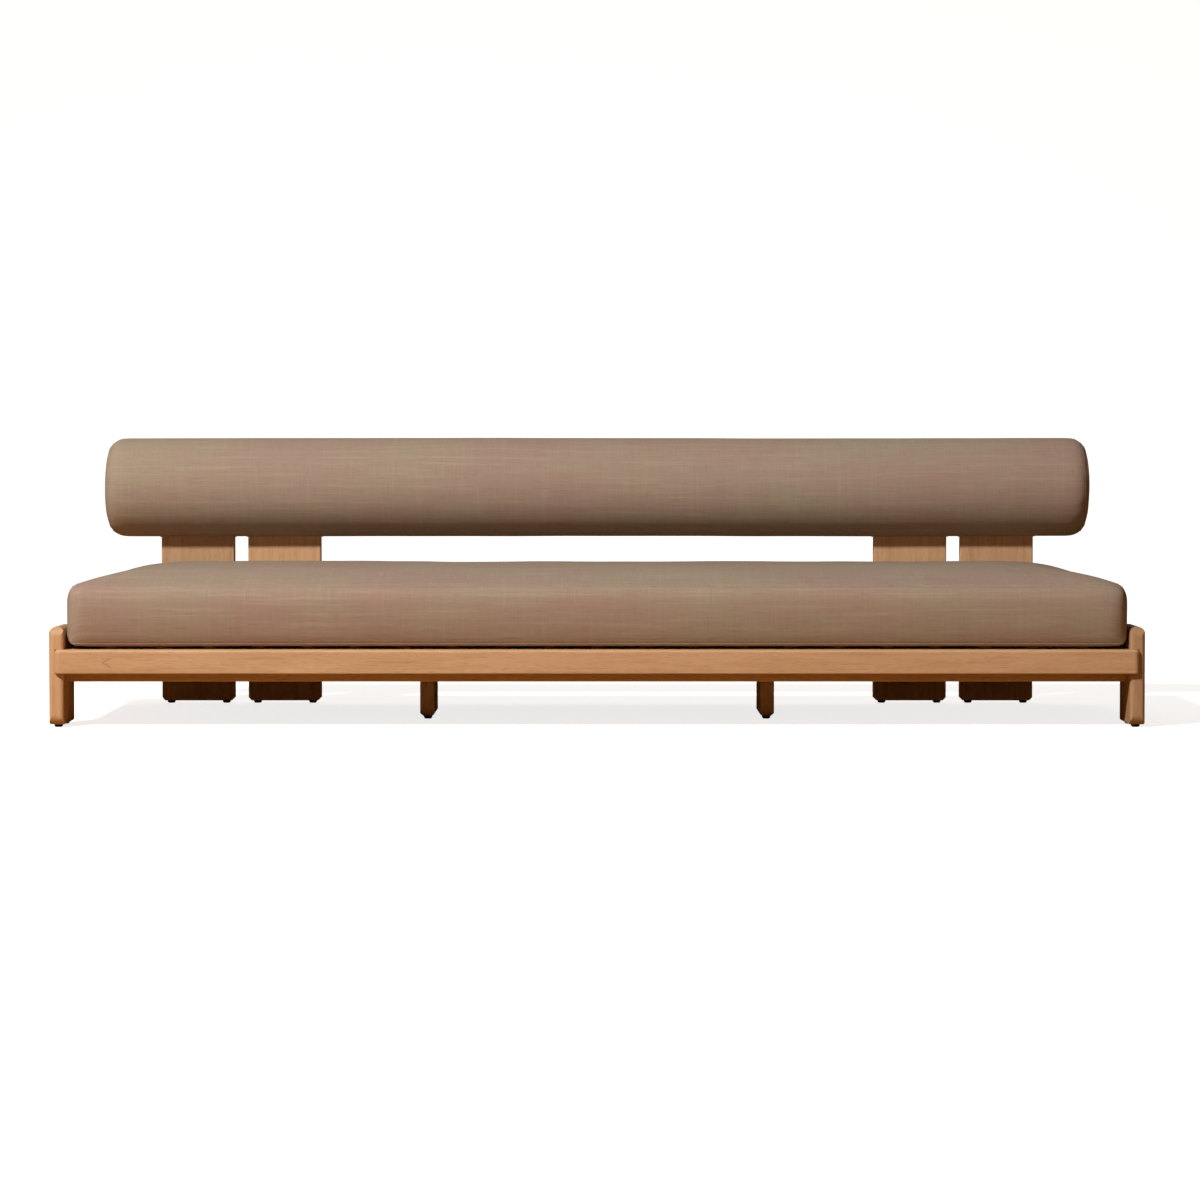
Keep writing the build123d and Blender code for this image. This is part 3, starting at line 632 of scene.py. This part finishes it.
# %% Bolster
roll_low, roll_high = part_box("bolster_cushion")
roll_y, roll_z = (roll_low.y + roll_high.y) / 2, (roll_low.z + roll_high.z) / 2
roll_radius = (roll_high.z - roll_low.z) / 2
roll_half = (roll_high.x - roll_low.x) / 2
ZIP_TURN = math.radians(-50)                    # the zip's place round the roll, low at the back
ROLL_TIGHT = 0.006                              # how much thinner the roll's foam starts


def foam_roll():
    """The bolster's foam before it swells."""
    shape = bmesh.new()
    bmesh.ops.create_cone(shape, cap_ends=True, segments=72, radius1=roll_radius - ROLL_TIGHT,
                          radius2=roll_radius - ROLL_TIGHT, depth=2 * roll_half - 0.014)
    rims = [e for e in shape.edges if abs(e.verts[0].co.z - e.verts[1].co.z) < 1e-6]
    bmesh.ops.bevel(shape, geom=rims, offset=0.044, segments=7, affect="EDGES",
                    profile=0.5, material=-1)
    bmesh.ops.rotate(shape, cent=(0, 0, 0), matrix=Matrix.Rotation(math.radians(90), 3, "Y"),
                     verts=shape.verts)
    bmesh.ops.translate(shape, vec=(0, roll_y, roll_z), verts=shape.verts)
    return shape


roll = piece_from("bolster_roll", foam_roll())
even_mesh(roll, 0.015)
blow_up(roll, 4.0, 0.0075)
refine(roll)
fit_box(roll, roll_low, roll_high)
normals = [v.normal.copy() for v in roll.data.vertices]
for vertex, normal in zip(roll.data.vertices, normals):
    point = vertex.co.copy()
    wander = noise.noise(Vector((point.x * 1.6, point.y * 3, point.z * 3))) * 0.0012
    ripples = Vector((point.x * 6, point.y * 9, point.z * 9)) + Vector((3, 8, 2))
    wander += noise.noise(ripples) * 0.0006
    point += normal * wander
    out = Vector((point.y - roll_y, point.z - roll_z))
    turn = math.atan2(out.y, out.x) - ZIP_TURN
    if abs(point.x) < roll_half - 0.05 and out.length > 0.08:
        near = 1 - ease(abs(turn) * roll_radius, 0.022, 0.055)
        out *= 1 + (roll_radius / out.length - 1) * near
        point.y, point.z = roll_y + out.x, roll_z + out.y
    vertex.co = point
roll.data.update()
print("bolster", len(roll.data.polygons), "faces")
roll_tree = BVHTree.FromPolygons([v.co.copy() for v in roll.data.vertices],
                                 [tuple(f.vertices) for f in roll.data.polygons])

# %% [markdown]
# Each slot is as wide as its plank with a little room, and as deep as the hollow of the beam,
# so that the plank's top can rest under the beam's cap. The cutters are plain boxes.

# %% Plank slots
SLOT_ROOM = 0.0015
planks = [name for name in boards if name.startswith("back_plank")]
slot_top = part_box("beam_cap")[0].z + 0.001
cutter_shape = bmesh.new()
for name in planks:
    low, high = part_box(name)
    low = Vector((low.x - SLOT_ROOM, low.y - SLOT_ROOM, roll_low.z - 0.05))
    high = Vector((high.x + SLOT_ROOM, high.y + SLOT_ROOM, slot_top))
    made = bmesh.ops.create_cube(cutter_shape, size=1)
    bmesh.ops.scale(cutter_shape, vec=high - low, verts=made["verts"])
    bmesh.ops.translate(cutter_shape, vec=(high + low) / 2, verts=made["verts"])
cutter = piece_from("slot_cutter", cutter_shape)
cut = roll.modifiers.new("slots", "BOOLEAN")
cut.operation = "DIFFERENCE"
cut.solver = "MANIFOLD"
cut.object = cutter
slotted = evaluated_copy(roll)
roll.modifiers.remove(cut)
replace_mesh(roll, slotted)
cutter_mesh = cutter.data
bpy.data.objects.remove(cutter)
bpy.data.meshes.remove(cutter_mesh)


def roll_across(point, normal):
    """Distance round the roll, or plain height on its end panels."""
    if abs(normal.x) > 0.75:
        return point.z
    return math.atan2(point.y - roll_y, roll_z - point.z) * roll_radius


def unwrap_jump(piece):
    """Brings the map's corners together where the distance round the roll starts again."""
    layer = piece.data.uv_layers["weave"]
    turn = 2 * math.pi * roll_radius
    for face in piece.data.polygons:
        heights = [layer.data[i].uv.y for i in face.loop_indices]
        if max(heights) - min(heights) > turn / 2:
            for i in face.loop_indices:
                if layer.data[i].uv.y < 0:
                    layer.data[i].uv.y += turn


lay_weave(roll, lambda p, n: p.y if abs(n.x) > 0.75 else p.x, roll_across)
unwrap_jump(roll)
roll.data.materials.clear()
roll.data.materials.append(taupe_cloth)
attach(roll, "bolster")
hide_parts("bolster_cushion")
print("bolster with slots", len(roll.data.polygons), "faces")

# %% [markdown]
# Seams join the panels: round the top of the seat, round its bottom and round each end of the
# bolster. A seam shows as a fine ridge of folded cloth with a row of stitches beside it. Each
# follows the cloth, so its points are found by looking from outside along a ray to the surface.

# %% Seam helpers
SEAM_SINK = 0.0006                              # how deep a seam's ridge sits in the cloth
STITCH_PITCH = 0.007


def ridge_along(name, points, radius, body):
    """A thin round cord through points and back to the first, as a mesh."""
    data = bpy.data.curves.new(name, "CURVE")
    data.dimensions = "3D"
    data.bevel_depth = radius
    data.bevel_resolution = 1
    line = data.splines.new("POLY")
    line.points.add(len(points) - 1)
    for target, point in zip(line.points, points):
        target.co = (*point, 1)
    line.use_cyclic_u = True
    holder = bpy.data.objects.new(name, data)
    bpy.context.scene.collection.objects.link(holder)
    mesh = evaluated_copy(holder)
    bpy.data.objects.remove(holder)
    bpy.data.curves.remove(data)
    mesh.name = name
    ridge = bpy.data.objects.new(name, mesh)
    bpy.context.scene.collection.objects.link(ridge)
    lay_weave(ridge, lambda p, n: p.x + p.y, lambda p, n: p.z)
    mesh.materials.clear()
    mesh.materials.append(taupe_cloth)
    mesh.shade_smooth()
    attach(ridge, body)


stitch_shape = bmesh.new()
bmesh.ops.create_cube(stitch_shape, size=1)
bmesh.ops.scale(stitch_shape, vec=(0.0048, 0.0009, 0.0009), verts=stitch_shape.verts)
long_edges = [e for e in stitch_shape.edges if e.verts[0].co.x * e.verts[1].co.x < 0]
bmesh.ops.bevel(stitch_shape, geom=long_edges, offset=0.00025, segments=1, affect="EDGES",
                profile=0.5, material=-1)
one_stitch = bpy.data.meshes.new("one_stitch")
stitch_shape.to_mesh(one_stitch)
stitch_shape.free()


def stitches_along(name, line, body):
    """A closed row of small thread stitches that lie on the cloth."""
    shape = bmesh.new()
    left = STITCH_PITCH / 2
    count = 0
    for (here, up), (after, _) in zip(line, line[1:] + line[:1]):
        step = after - here
        run = step.length
        while left < run:
            forward = step.normalized()
            side = up.cross(forward).normalized()
            top = forward.cross(side)
            turn = Matrix((forward, side, top)).transposed().to_4x4()
            stitch = one_stitch.copy()
            stitch.transform(Matrix.Translation(here + forward * left + up * 0.0003) @ turn)
            shape.from_mesh(stitch)
            bpy.data.meshes.remove(stitch)
            left += STITCH_PITCH
            count += 1
        left -= run
    row = piece_from(name, shape)
    row.data.materials.append(thread)
    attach(row, body)
    print(name, count, "stitches")


def on_surface(tree, start, towards):
    """Where a ray from outside meets the cloth, and the cloth's direction there."""
    return tree.ray_cast(start, towards)[:2]


print("seam helpers ready")

# %% [markdown]
# The seat's seams run round a rounded rectangle. Walking round it in equal steps and looking in
# at each step puts the seam on the cloth.

# %% Seat seams
seat_tree = BVHTree.FromPolygons([v.co.copy() for v in seat.data.vertices],
                                 [tuple(f.vertices) for f in seat.data.polygons])


def round_rectangle(half_x, half_y, radius, step):
    """Points round a rounded rectangle about the origin, with their outward directions."""
    points = []
    for corner, (sx, sy) in enumerate(((1, 1), (-1, 1), (-1, -1), (1, -1))):
        centre = Vector((sx * (half_x - radius), sy * (half_y - radius), 0))
        first = corner * math.pi / 2
        arc = max(3, round(radius * math.pi / 2 / step))
        for i in range(arc + 1):
            angle = first + i * math.pi / 2 / arc
            out = Vector((math.cos(angle), math.sin(angle), 0))
            points.append((centre + out * radius, out))
    full = []
    for (a, out_a), (b, out_b) in zip(points, points[1:] + points[:1]):
        run = max(1, round((b - a).length / step))
        for i in range(run):
            full.append((a.lerp(b, i / run), out_a.lerp(out_b, i / run).normalized()))
    return full


seat_middle = Vector(((seat_low.x + seat_high.x) / 2, (seat_low.y + seat_high.y) / 2, 0))
seat_loop = round_rectangle((seat_high.x - seat_low.x) / 2, (seat_high.y - seat_low.y) / 2,
                            0.045, 0.012)


def seat_line(height):
    """A closed line on the seat's boxing at one height."""
    found = []
    for point, out in seat_loop:
        start = seat_middle + point + out * 0.05 + Vector((0, 0, height))
        hit, normal = on_surface(seat_tree, start, -out)
        if hit:
            found.append((hit, normal))
    return found


for label, seam_z, stitch_z in (("upper", SEAT_TURN_Z - 0.008, SEAT_TURN_Z - 0.008 - 0.006),
                                ("lower", seat_low.z + 0.013, seat_low.z + 0.013 + 0.007)):
    ridge_along("seat_seam_" + label, [p - n * SEAM_SINK for p, n in seat_line(seam_z)], 0.0015, "seat")
    stitches_along("seat_stitches_" + label, seat_line(stitch_z), "seat")
print("seat seams", len(seat_loop), "points round")

# %% [markdown]
# A ring seam closes each end of the bolster, and a narrow binding is sewn round each slot, so
# that the cloth doesn't fray where the planks rub. Both are found on the roll before it was cut.

# %% Bolster seams
def roll_ring(x, steps=96):
    """A closed line round the bolster at one place along it."""
    found = []
    for i in range(steps):
        angle = 2 * math.pi * i / steps
        out = Vector((0, math.cos(angle), math.sin(angle)))
        found.append(on_surface(roll_tree, Vector((x, roll_y, roll_z)) + out * 0.2, -out))
    return found


for side, label in ((-1, "left"), (1, "right")):
    ring = [p - n * SEAM_SINK for p, n in roll_ring(side * (roll_half - 0.013))]
    ridge_along("bolster_seam_" + label, ring, 0.0017, "bolster")
    stitches_along("bolster_stitches_" + label, roll_ring(side * (roll_half - 0.021)), "bolster")

BINDING_OUT = 0.0035                            # how far outside the plank the binding runs
for name in planks:
    low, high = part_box(name)
    middle = (low + high) / 2
    rim = round_rectangle((high.x - low.x) / 2 + BINDING_OUT, (high.y - low.y) / 2 + BINDING_OUT,
                          0.002, 0.01)
    path = []
    for point, out in rim:
        below = Vector((middle.x + point.x, middle.y + point.y, 0.40))
        path.append(on_surface(roll_tree, below, Vector((0, 0, 1)))[0])
    ridge_along("slot_binding_" + name.removeprefix("back_plank_"), path, 0.0018, "bolster")
print("bolster seams and slot bindings sewn")

# %% [markdown]
# A coil zip is two woven tapes with a nylon coil sewn along each inner edge. The coil's turns
# show as fine ribs, so each turn is one small wedge, repeated along the zip, over the edges
# where two thin tapes meet.

# %% Zips
zip_tape, tape_shader, tape_place = finish_named("zip_tape", Sheen_Weight=0.15)
twill = (tape_place.xyz()[0] + tape_place.xyz()[2]) * (2 * math.pi / 0.0012)
twill = twill.maths("SINE", twill)
tape_colour = twill.step(-0.6, 0.6).blend((0.15, 0.105, 0.08, 1), (0.21, 0.15, 0.115, 1))
feed(tape_shader, Base_Color=tape_colour, Roughness=twill * 0.05 + 0.8, Normal=twill.bump(0.3, 0.0003))
coil_nylon, coil_shader, coil_place = finish_named("coil_nylon", Specular_IOR_Level=0.4)
worn = coil_place.noise((60, 900, 900), 2, 0.5)
feed(coil_shader, Base_Color=worn.blend((0.10, 0.072, 0.055, 1), (0.17, 0.125, 0.095, 1)),
     Roughness=worn * 0.2 + 0.35)

TAPE_WIDTH, TAPE_THICK = 0.0135, 0.0007
COIL_WIDTH, COIL_RISE, COIL_PITCH = 0.0058, 0.0013, 0.0026


def coil_turns(half_length):
    """The coil: one wedge, repeated along the zip by an Array modifier."""
    wedge = bmesh.new()
    bmesh.ops.create_cube(wedge, size=1)
    bmesh.ops.scale(wedge, vec=(COIL_PITCH * 0.66, COIL_WIDTH, COIL_RISE), verts=wedge.verts)
    bmesh.ops.scale(wedge, vec=(0.6, 0.62, 1), verts=[v for v in wedge.verts if v.co.z > 0])
    first = (-half_length + COIL_PITCH / 2, 0, TAPE_THICK + COIL_RISE / 2 - 0.0002)
    bmesh.ops.translate(wedge, vec=first, verts=wedge.verts)
    coil = piece_from("coil", wedge)
    rows = coil.modifiers.new("turns", "ARRAY")
    rows.count = int(2 * half_length / COIL_PITCH)
    rows.use_relative_offset = False
    rows.use_constant_offset = True
    rows.constant_offset_displace = (COIL_PITCH, 0, 0)
    mesh = evaluated_copy(coil)
    bpy.data.objects.remove(coil)
    return mesh


def zip_shape(half_length, curve_radius):
    """A closed zip along X that faces up, bent over a curve where there is one."""
    shape = bmesh.new()
    for side in (-1, 1):
        made = bmesh.ops.create_grid(shape, x_segments=60, y_segments=4, size=0.5)
        bmesh.ops.scale(shape, vec=(2 * half_length, TAPE_WIDTH, 1), verts=made["verts"])
        bmesh.ops.translate(shape, vec=(0, side * (TAPE_WIDTH / 2 + 0.0004), 0), verts=made["verts"])
    bmesh.ops.solidify(shape, geom=shape.faces[:], thickness=-TAPE_THICK)
    bmesh.ops.recalc_face_normals(shape, faces=shape.faces)
    first_turn = len(shape.faces)
    coil = coil_turns(half_length)
    shape.from_mesh(coil)
    bpy.data.meshes.remove(coil)
    shape.faces.ensure_lookup_table()
    for face in shape.faces[first_turn:]:
        face.material_index = 1
    if curve_radius:
        for vertex in shape.verts:
            vertex.co.z -= vertex.co.y ** 2 / (2 * curve_radius)
    return shape


def sew_zip(name, shape, turn, place, body, node):
    """Puts a zip in its place on a cushion, in place of its CAD node."""
    bmesh.ops.rotate(shape, cent=(0, 0, 0), matrix=turn, verts=shape.verts)
    bmesh.ops.translate(shape, vec=place, verts=shape.verts)
    closed = piece_from(name, shape)
    closed.data.materials.append(zip_tape)
    closed.data.materials.append(coil_nylon)
    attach(closed, body)
    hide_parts(node)
    print(name, len(closed.data.polygons), "faces")


zip_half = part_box("seat_zip")[1].x
sew_zip("seat_coil_zip", zip_shape(zip_half, 0), Matrix.Rotation(math.radians(-90), 3, "X"),
        Vector((0, seat_high.y, ZIP_Z)), "seat", "seat_zip")
outward = Vector((0, math.cos(ZIP_TURN), math.sin(ZIP_TURN)))
sew_zip("bolster_coil_zip", zip_shape(zip_half, roll_radius),
        Matrix.Rotation(ZIP_TURN - math.radians(90), 3, "X"),
        Vector((0, roll_y, roll_z)) + outward * (roll_radius + 0.0001),
        "bolster", "bolster_zip")

# %% [markdown]
# The pale floor gets a faint unevenness so that it doesn't look like a flat colour. Seen
# directly it is nearly white, but it sends little light back up, so that the wood under the
# seat stays dark. A Light Path node chooses between the two.

# %% Floor finish
floor_finish, floor_shader, floor_place = finish_named("pale_floor", Specular_IOR_Level=0.1)
cloudy = floor_place.noise((0.6, 0.6, 0.6), 2, 0.5)
feed(floor_shader, Base_Color=cloudy.blend((0.88, 0.88, 0.88, 1), (0.92, 0.92, 0.91, 1)),
     Roughness=cloudy * 0.1 + 0.75)
floor_shader.inputs["Emission Color"].default_value = (1, 1, 1, 1)
floor_shader.inputs["Emission Strength"].default_value = 0.8
dim = floor_place.node("ShaderNodeBsdfDiffuse", None, {"Color": (0.42, 0.225, 0.065, 1)})
looked_at = floor_place.node("ShaderNodeLightPath")
bright = Wire(floor_place.tree, floor_shader.outputs["BSDF"])
both = floor_place.node("ShaderNodeMixShader", None, {0: looked_at, 1: dim, 2: bright})
floor_place.tree.links.new(both.socket, floor_place.tree.nodes["Material Output"].inputs["Surface"])
floor.data.materials.append(floor_finish)

# %% [markdown]
# Last, the pieces and their triangles are counted.

# %% Measure and finish
seen = [o for o in bpy.data.objects if o.type == "MESH" and not o.hide_render and o is not floor]
triangles = sum(sum(len(f.vertices) - 2 for f in o.data.polygons) for o in seen)
print(len(seen), "meshes,", triangles, "triangles")
